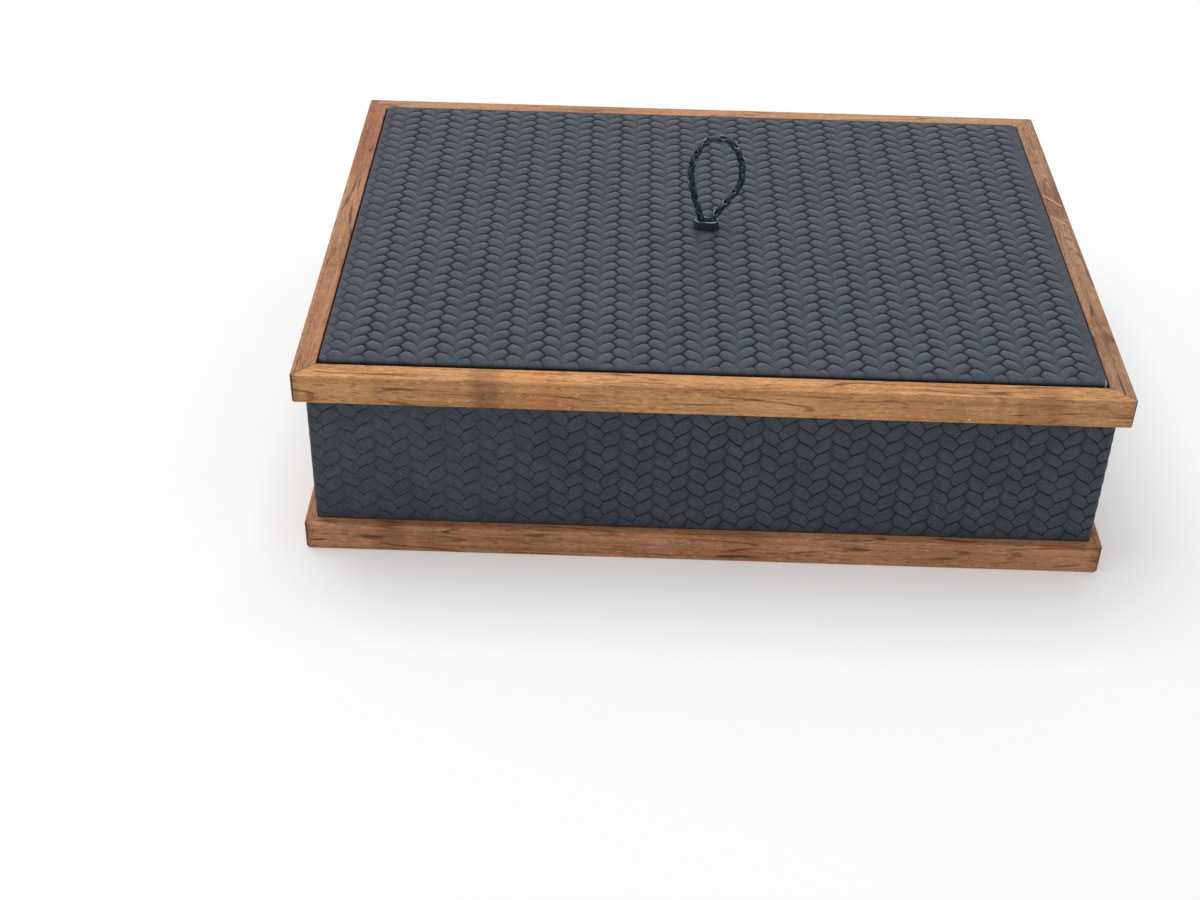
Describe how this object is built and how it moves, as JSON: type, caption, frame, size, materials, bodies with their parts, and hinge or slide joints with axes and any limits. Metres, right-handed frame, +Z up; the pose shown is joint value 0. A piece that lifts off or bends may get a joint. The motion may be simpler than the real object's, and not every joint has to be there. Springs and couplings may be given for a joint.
{
  "type": "stationery box",
  "caption": "Rectangular box with mitred wooden frames, a body and padded lid panel in woven-embossed leather, and a lift-off lid with a braided cord loop.",
  "frame": {"origin": "under the middle of the box, on the surface that it stands on", "axes": "+X along the long side to the box's right, +Y to its back, +Z up, the way the lid lifts"},
  "size_m": [0.35, 0.262, 0.1419],
  "materials": {
    "lid_wood": "satin",
    "base_wood": "satin",
    "board": "matte",
    "leather": "satin",
    "lining_cloth": "matte",
    "padding": "matte",
    "pull_leather": "satin",
    "washer": "satin"
  },
  "bodies": {
    "box": {"base_rail_front": "base_wood", "base_rail_rear": "base_wood", "base_rail_left": "base_wood", "base_rail_right": "base_wood", "bottom_board": "board", "base_cover": "lining_cloth", "wall_front": "board", "wall_rear": "board", "wall_left": "board", "wall_right": "board", "body_leather": "leather", "lining_front": "lining_cloth", "lining_rear": "lining_cloth", "lining_left": "lining_cloth", "lining_right": "lining_cloth", "lining_floor": "lining_cloth"},
    "lid": {"lid_rail_front": "lid_wood", "lid_rail_rear": "lid_wood", "lid_rail_left": "lid_wood", "lid_rail_right": "lid_wood", "lid_board": "board", "lid_foam": "padding", "lid_leather": "leather", "plug_board": "board", "plug_lining": "lining_cloth", "pull_collar": "pull_leather", "pull_knot": "pull_leather", "pull_washer": "washer"},
    "pull": {"pull_loop": "pull_leather"}
  },
  "joints": [
    {"name": "lid_lift", "type": "slide", "parent": "box", "child": "lid", "axis": [0, 0, 1], "range_m": [0, 0.12]},
    {"name": "pull_lean", "type": "hinge", "parent": "lid", "child": "pull", "pos_m": [0, 0, 0.0995], "axis": [1, 0, 0], "range_deg": [-70, 70], "stiffness_Nm_per_rad": 0.002}
  ]
}
